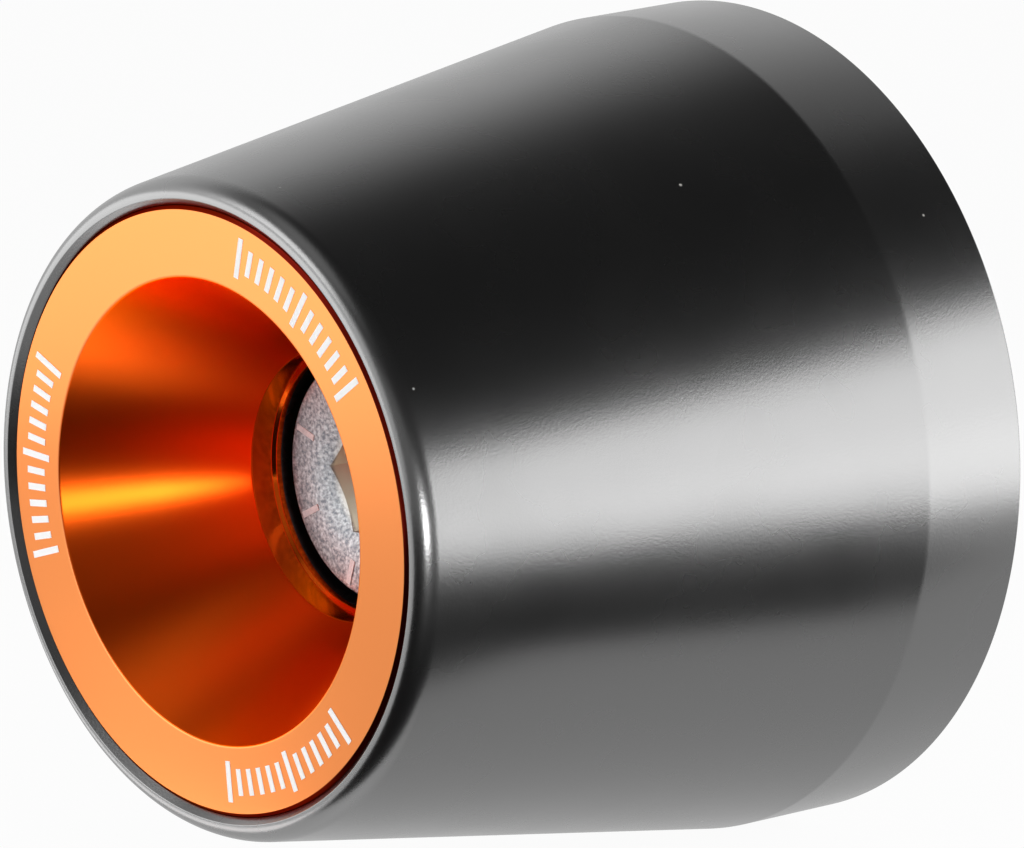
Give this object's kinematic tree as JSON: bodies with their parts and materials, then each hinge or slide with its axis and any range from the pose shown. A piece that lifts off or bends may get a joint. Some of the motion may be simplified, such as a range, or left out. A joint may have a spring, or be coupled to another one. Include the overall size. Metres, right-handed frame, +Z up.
{
  "type": "bar end weight",
  "caption": "Tapered handlebar end weight with a dished coloured insert and a central socket cap screw whose threaded end fastens it to the bar.",
  "frame": {"origin": "centre of the back face, where the body meets the end of the handlebar", "axes": "the axis of the weight lies level along Y, with the dish facing -Y and the screw's tip towards +Y; +Z is up, and a corner of the hexagon socket points along X"},
  "size_m": [0.0342, 0.0397, 0.0342],
  "materials": {
    "black_anodised_aluminium": "bead-blasted and black anodised, soft sheen",
    "orange_anodised_aluminium": "fine turned and orange anodised, bright satin",
    "zinc_plated_steel": "zinc plated, grainy"
  },
  "bodies": {
    "root": {"tapered_body": "black_anodised_aluminium", "dish_insert": "orange_anodised_aluminium", "cap_screw": "zinc_plated_steel"}
  },
  "joints": []
}
